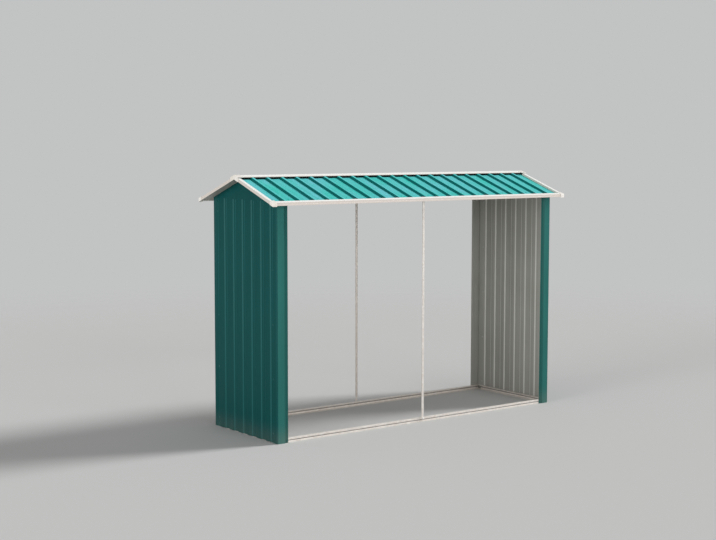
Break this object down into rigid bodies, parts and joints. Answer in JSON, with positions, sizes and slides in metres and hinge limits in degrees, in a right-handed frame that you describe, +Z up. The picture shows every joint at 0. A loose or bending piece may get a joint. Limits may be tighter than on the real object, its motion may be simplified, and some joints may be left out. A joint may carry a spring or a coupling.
{
  "type": "log store",
  "caption": "Open-fronted log store of folded sheet steel: ribbed side walls, slim centre posts and a ribbed double-pitch roof with white trims.",
  "frame": {"origin": "on the ground, at the middle of the plan, under the ridge", "axes": "+X along the length to the right as seen from the open front, +Y from front to back, +Z up; the front with the stepped post lips faces -Y, and the back is its mirror image"},
  "size_m": [2.3486, 0.8306, 1.5742],
  "materials": {
    "green_sheet": "coil-coated teal green outside, pale grey backing coat inside, satin",
    "roof_sheet": "coil-coated teal green ribbed sheet, satin",
    "galvanised_steel": "hot-dip galvanised steel with a pale spangle, satin",
    "white_trim": "white coated steel, satin",
    "white_plastic": "moulded white plastic, fine satin"
  },
  "bodies": {
    "root": {"base_rail_back": "galvanised_steel", "base_rail_front": "galvanised_steel", "base_rail_left": "galvanised_steel", "base_rail_right": "galvanised_steel", "centre_post_back": "galvanised_steel", "centre_post_front": "galvanised_steel", "corner_post_back_left": "green_sheet", "corner_post_back_right": "green_sheet", "corner_post_front_left": "green_sheet", "corner_post_front_right": "green_sheet", "eave_corner_cap_back_left": "white_plastic", "eave_corner_cap_back_right": "white_plastic", "eave_corner_cap_front_left": "white_plastic", "eave_corner_cap_front_right": "white_plastic", "eave_trim_back": "white_trim", "eave_trim_front": "white_trim", "gable_left": "green_sheet", "gable_right": "green_sheet", "ridge_beam": "galvanised_steel", "ridge_cap": "white_trim", "ridge_end_cap_left": "white_plastic", "ridge_end_cap_right": "white_plastic", "roof_sheet_back_1": "roof_sheet", "roof_sheet_back_2": "roof_sheet", "roof_sheet_back_3": "roof_sheet", "roof_sheet_front_1": "roof_sheet", "roof_sheet_front_2": "roof_sheet", "roof_sheet_front_3": "roof_sheet", "side_wall_left": "green_sheet", "side_wall_right": "green_sheet", "top_rail_back": "green_sheet", "top_rail_front": "green_sheet", "top_rail_left": "green_sheet", "top_rail_right": "green_sheet", "verge_trim_back_left": "white_trim", "verge_trim_back_right": "white_trim", "verge_trim_front_left": "white_trim", "verge_trim_front_right": "white_trim"}
  },
  "joints": []
}
